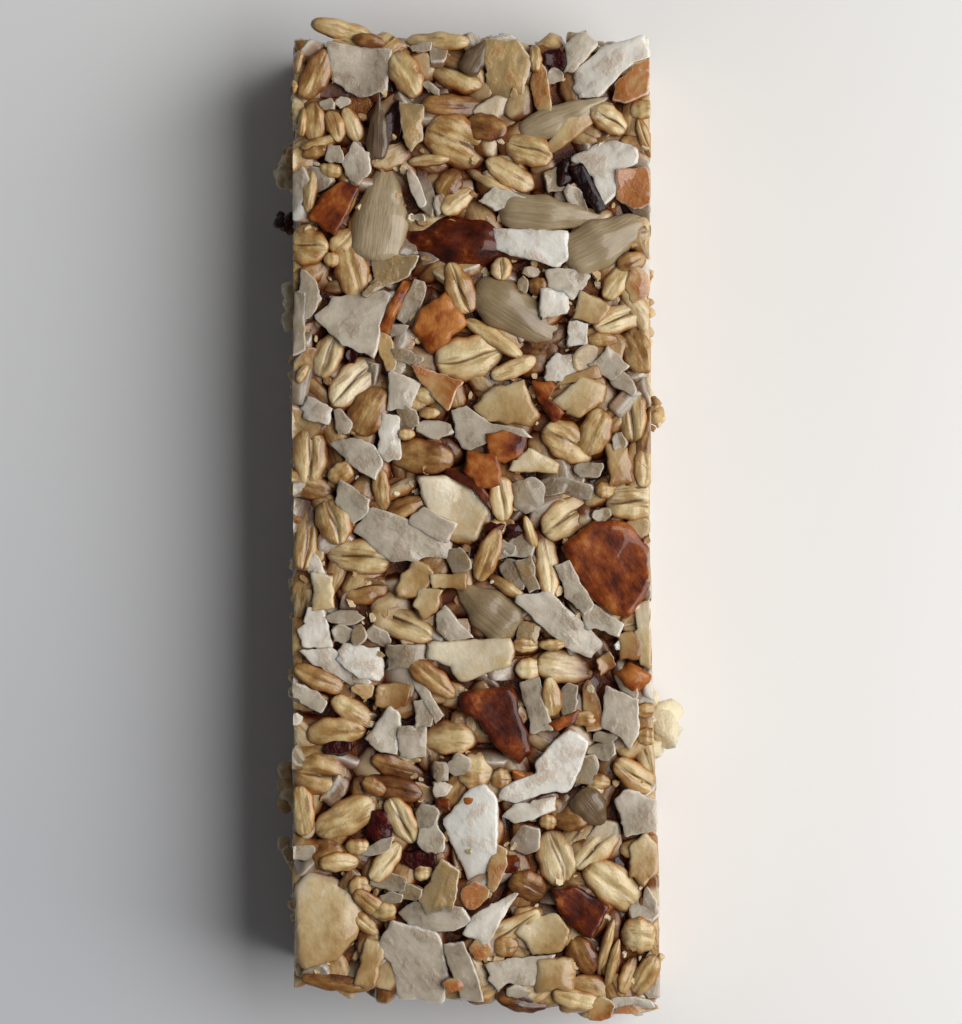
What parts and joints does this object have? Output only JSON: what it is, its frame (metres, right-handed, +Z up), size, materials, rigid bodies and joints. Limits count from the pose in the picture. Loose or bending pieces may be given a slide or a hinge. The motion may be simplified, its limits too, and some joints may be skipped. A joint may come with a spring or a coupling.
{
  "type": "granola bar",
  "caption": "Rectangular pressed granola bar of oats, coconut chips, chopped almonds and sunflower kernels in syrup, with a flat top, straight long sides and rough ends",
  "frame": {"origin": "middle of the flat underside, on the surface that the bar lies on", "axes": "+Y runs along the bar's length, +X runs across its width, +Z points up to the pressed top"},
  "size_m": [0.044, 0.0986, 0.017],
  "materials": {
    "oat_mass": "rolled oats in glossy amber syrup, cream to toasted brown",
    "almond_skin": "glossy red-brown skin with fine lengthwise wrinkles",
    "nut_flesh": "satin cream nut flesh, slightly translucent, syrup-glazed",
    "sunflower_kernel": "satin grey-beige kernel with faint lengthwise ridges",
    "coconut": "white to grey fibrous flakes, satin, slightly translucent",
    "toasted_coconut": "toasted golden-brown coconut, satin",
    "crumb": "matt cream crumb of oats and nut"
  },
  "bodies": {
    "root": {"oat_mass": "oat_mass", "almond_01": "almond_skin", "almond_02": "almond_skin", "almond_03": "almond_skin", "almond_04": "almond_skin", "almond_05": "almond_skin", "almond_06": "almond_skin", "almond_07": "almond_skin", "almond_08": "almond_skin", "almond_09": "almond_skin", "almond_10": "almond_skin", "chip_01": "coconut", "chip_02": "coconut", "chip_03": "coconut", "chip_04": "coconut", "chip_05": "coconut", "chip_06": "coconut", "chip_07": "coconut", "chip_08": "coconut", "chip_09": "coconut", "chip_10": "coconut", "chip_11": "coconut", "chip_12": "coconut", "chip_13": "coconut", "chip_14": "coconut", "chip_15": "coconut", "chip_16": "coconut", "chip_17": "coconut", "chip_18": "coconut", "chip_19": "coconut", "chip_20": "coconut", "chip_21": "coconut", "chip_22": "coconut", "chip_23": "coconut", "chip_24": "coconut", "chip_25": "coconut", "chip_26": "coconut", "chip_27": "coconut", "chip_28": "coconut", "chip_29": "coconut", "chip_30": "coconut", "chip_31": "coconut", "flank_crumb_01": "crumb", "flank_crumb_02": "crumb", "flank_crumb_03": "crumb", "kernel_01": "sunflower_kernel", "kernel_02": "sunflower_kernel", "kernel_03": "sunflower_kernel", "kernel_04": "sunflower_kernel", "kernel_05": "sunflower_kernel", "kernel_06": "sunflower_kernel", "nut_slice_01": "nut_flesh", "nut_slice_02": "nut_flesh", "nut_slice_03": "nut_flesh", "nut_slice_04": "nut_flesh", "nut_slice_05": "nut_flesh", "nut_slice_06": "nut_flesh", "nut_slice_07": "nut_flesh", "toasted_chip_01": "toasted_coconut"}
  },
  "joints": []
}
